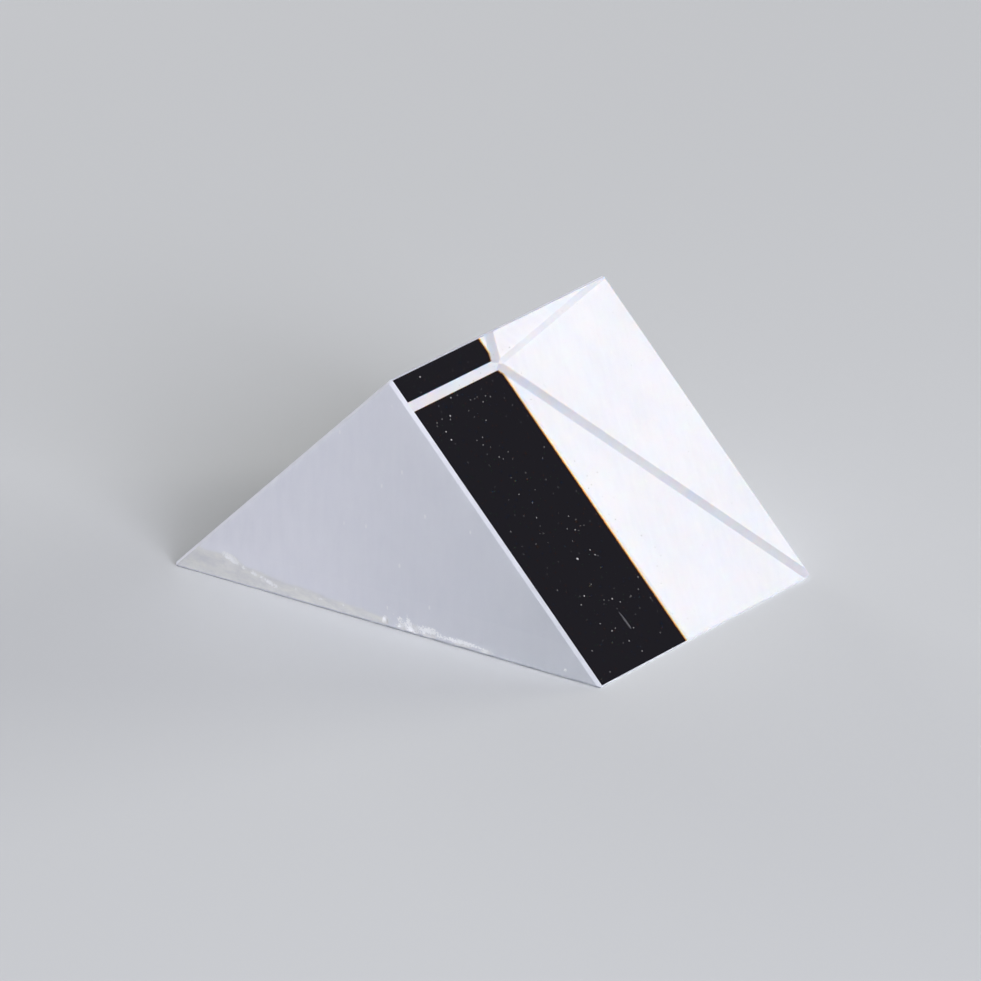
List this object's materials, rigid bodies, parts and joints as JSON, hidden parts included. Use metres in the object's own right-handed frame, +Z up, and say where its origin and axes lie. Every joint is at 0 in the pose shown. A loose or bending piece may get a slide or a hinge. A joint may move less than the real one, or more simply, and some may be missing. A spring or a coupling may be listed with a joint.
{
  "type": "triangular prism",
  "caption": "Solid right-angle prism of clear optical glass lying on its wide face, with polished long faces, frosted ground ends, bevelled edges and a chipped lower front edge.",
  "frame": {"origin": "middle of the wide (hypotenuse) face, on the surface that the prism rests on", "axes": "+X across the wide face, square to the prism's length; +Y along the prism from the near, chipped ground end to the far one; +Z up to the roof edge"},
  "size_m": [0.0279, 0.02, 0.0141],
  "materials": {
    "crown_glass": "clear optical crown glass: long faces polished, ends and bevels fine-ground and frosted"
  },
  "bodies": {
    "root": {"prism": "crown_glass"}
  },
  "joints": []
}
